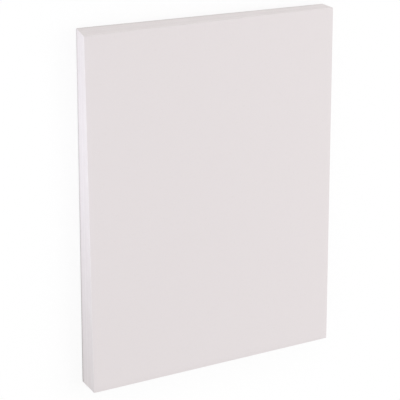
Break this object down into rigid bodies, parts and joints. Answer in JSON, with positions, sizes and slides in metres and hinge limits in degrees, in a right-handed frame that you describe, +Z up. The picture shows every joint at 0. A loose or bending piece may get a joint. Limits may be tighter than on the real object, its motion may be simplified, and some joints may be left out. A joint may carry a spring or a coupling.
{
  "type": "pack of bristol cards",
  "caption": "Hand-squared pack of plain soft-white bristol cards of letter size, lying flat, loose and unwrapped, for drawing, crafts or index use.",
  "frame": {"origin": "on the surface that the pack lies on, under the middle of the pack", "axes": "+X along the cards' short side, +Y along their long side towards the head of the sheet, +Z up through the stack"},
  "size_m": [0.2188, 0.282, 0.019],
  "materials": {
    "card_stock": "smooth matte"
  },
  "bodies": {
    "root": {"card_01": "card_stock", "card_02": "card_stock", "card_03": "card_stock", "card_04": "card_stock", "card_05": "card_stock", "card_06": "card_stock", "card_07": "card_stock", "card_08": "card_stock", "card_09": "card_stock", "card_10": "card_stock", "card_11": "card_stock", "card_12": "card_stock", "card_13": "card_stock", "card_14": "card_stock", "card_15": "card_stock", "card_16": "card_stock", "card_17": "card_stock", "card_18": "card_stock", "card_19": "card_stock", "card_20": "card_stock", "card_21": "card_stock", "card_22": "card_stock", "card_23": "card_stock", "card_24": "card_stock", "card_25": "card_stock", "card_26": "card_stock", "card_27": "card_stock", "card_28": "card_stock", "card_29": "card_stock", "card_30": "card_stock", "card_31": "card_stock", "card_32": "card_stock", "card_33": "card_stock", "card_34": "card_stock", "card_35": "card_stock", "card_36": "card_stock", "card_37": "card_stock", "card_38": "card_stock", "card_39": "card_stock", "card_40": "card_stock", "card_41": "card_stock", "card_42": "card_stock", "card_43": "card_stock", "card_44": "card_stock", "card_45": "card_stock", "card_46": "card_stock", "card_47": "card_stock", "card_48": "card_stock", "card_49": "card_stock", "card_50": "card_stock"}
  },
  "joints": []
}
